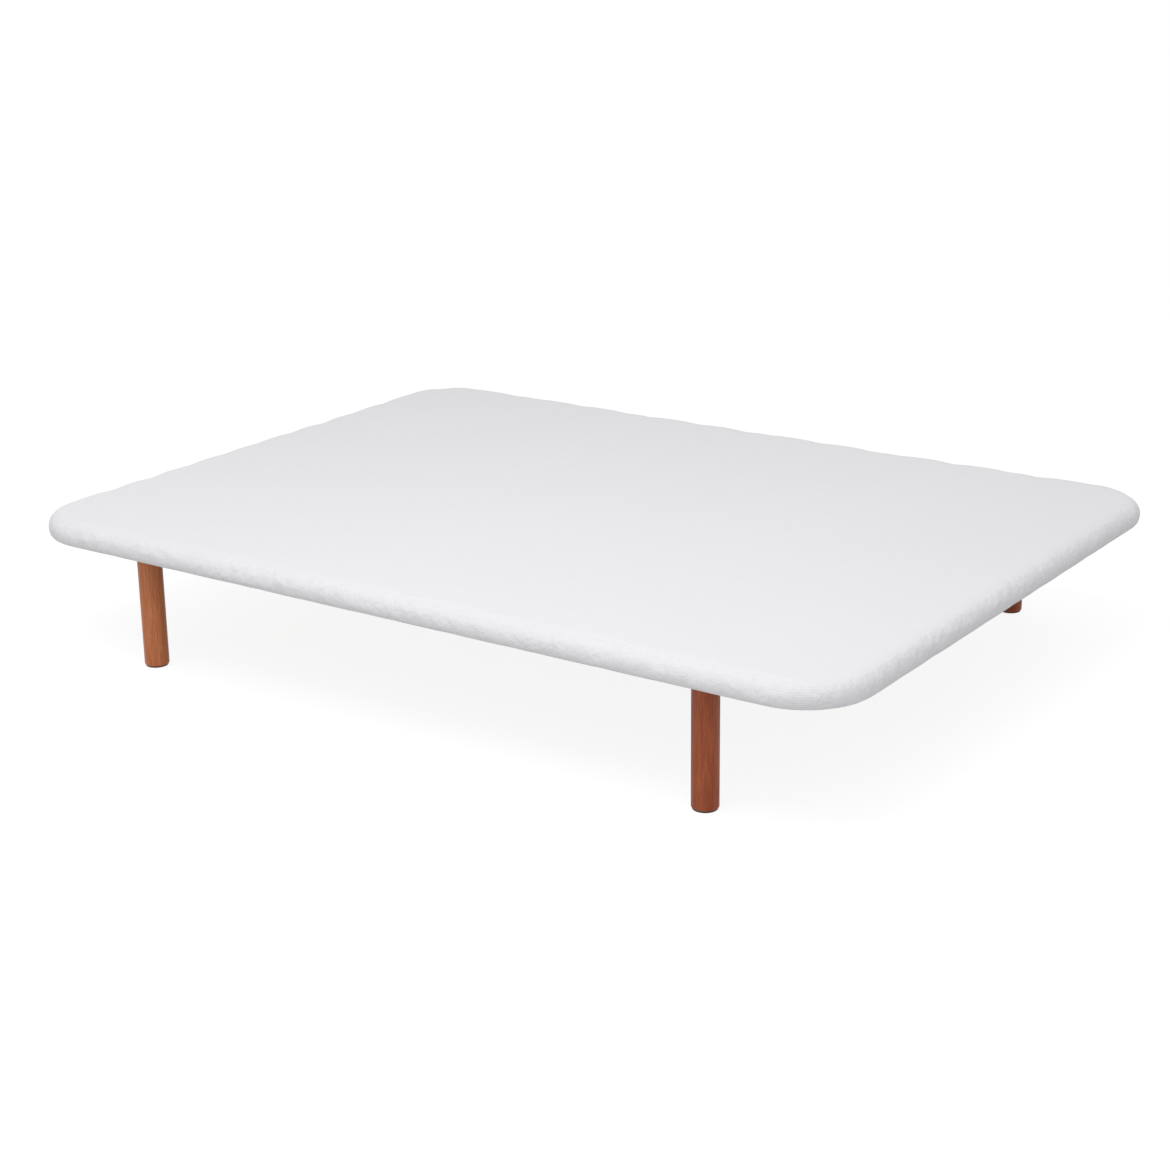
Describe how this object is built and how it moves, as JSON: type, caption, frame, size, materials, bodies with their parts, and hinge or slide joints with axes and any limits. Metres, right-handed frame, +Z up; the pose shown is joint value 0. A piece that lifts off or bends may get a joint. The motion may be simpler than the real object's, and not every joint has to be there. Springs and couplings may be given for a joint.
{
  "type": "divan bed base",
  "caption": "Low upholstered platform bed base with rounded padded edges on four round wooden legs that screw in.",
  "frame": {"origin": "centre of the footprint on the floor", "axes": "+Z up; +X along the base towards its foot end; +Y towards its left side"},
  "size_m": [1.9, 1.4, 0.293],
  "materials": {
    "cover_fabric": "matte",
    "foam": "matte",
    "fibreboard": "matte",
    "frame_steel": "satin",
    "zinc_steel": "satin",
    "leg_wood": "satin",
    "glide_plastic": "matte"
  },
  "bodies": {
    "base": {"fabric_cover": "cover_fabric", "foam_top": "foam", "board_head": "fibreboard", "board_foot": "fibreboard", "board_screws": "zinc_steel", "staples": "zinc_steel", "threaded_bushes": "zinc_steel", "foam_edge_foot": "foam", "foam_edge_left": "foam", "foam_edge_head": "foam", "foam_edge_right": "foam", "foam_corner_foot_left": "foam", "foam_corner_head_left": "foam", "foam_corner_head_right": "foam", "foam_corner_foot_right": "foam", "end_rail_head": "frame_steel", "end_rail_foot": "frame_steel", "side_rail_left": "frame_steel", "side_rail_right": "frame_steel", "corner_tube_foot_left": "frame_steel", "corner_tube_head_left": "frame_steel", "corner_tube_head_right": "frame_steel", "corner_tube_foot_right": "frame_steel", "cross_bar_1": "frame_steel", "cross_bar_2": "frame_steel", "cross_bar_3": "frame_steel", "cross_bar_4": "frame_steel", "cross_bar_5": "frame_steel", "leg_plate_foot_left": "frame_steel", "leg_plate_head_left": "frame_steel", "leg_plate_head_right": "frame_steel", "leg_plate_foot_right": "frame_steel"},
    "washer_foot_left": {"washer_foot_left": "zinc_steel"},
    "leg_foot_left": {"leg_foot_left": "leg_wood", "glide_foot_left": "glide_plastic", "hanger_bolt_foot_left": "zinc_steel"},
    "washer_head_left": {"washer_head_left": "zinc_steel"},
    "leg_head_left": {"leg_head_left": "leg_wood", "glide_head_left": "glide_plastic", "hanger_bolt_head_left": "zinc_steel"},
    "washer_head_right": {"washer_head_right": "zinc_steel"},
    "leg_head_right": {"leg_head_right": "leg_wood", "glide_head_right": "glide_plastic", "hanger_bolt_head_right": "zinc_steel"},
    "washer_foot_right": {"washer_foot_right": "zinc_steel"},
    "leg_foot_right": {"leg_foot_right": "leg_wood", "glide_foot_right": "glide_plastic", "hanger_bolt_foot_right": "zinc_steel"}
  },
  "joints": [
    {"name": "lower_leg_foot_left", "type": "slide", "parent": "base", "child": "washer_foot_left", "axis": [0, 0, -1], "range_m": [0, 0.0225]},
    {"name": "unscrew_leg_foot_left", "type": "hinge", "parent": "washer_foot_left", "child": "leg_foot_left", "pos_m": [0.66, 0.625, 0.255], "axis": [0, 0, -1], "range_deg": [0, 5400]},
    {"name": "lower_leg_head_left", "type": "slide", "parent": "base", "child": "washer_head_left", "axis": [0, 0, -1], "range_m": [0, 0.0225]},
    {"name": "unscrew_leg_head_left", "type": "hinge", "parent": "washer_head_left", "child": "leg_head_left", "pos_m": [-0.66, 0.625, 0.255], "axis": [0, 0, -1], "range_deg": [0, 5400]},
    {"name": "lower_leg_head_right", "type": "slide", "parent": "base", "child": "washer_head_right", "axis": [0, 0, -1], "range_m": [0, 0.0225]},
    {"name": "unscrew_leg_head_right", "type": "hinge", "parent": "washer_head_right", "child": "leg_head_right", "pos_m": [-0.66, -0.625, 0.255], "axis": [0, 0, -1], "range_deg": [0, 5400]},
    {"name": "lower_leg_foot_right", "type": "slide", "parent": "base", "child": "washer_foot_right", "axis": [0, 0, -1], "range_m": [0, 0.0225]},
    {"name": "unscrew_leg_foot_right", "type": "hinge", "parent": "washer_foot_right", "child": "leg_foot_right", "pos_m": [0.66, -0.625, 0.255], "axis": [0, 0, -1], "range_deg": [0, 5400]}
  ],
  "couplings": [
    {"joint": "lower_leg_foot_left", "follows": "unscrew_leg_foot_left", "m_per_rad": 0.00023873},
    {"joint": "lower_leg_head_left", "follows": "unscrew_leg_head_left", "m_per_rad": 0.00023873},
    {"joint": "lower_leg_head_right", "follows": "unscrew_leg_head_right", "m_per_rad": 0.00023873},
    {"joint": "lower_leg_foot_right", "follows": "unscrew_leg_foot_right", "m_per_rad": 0.00023873}
  ]
}
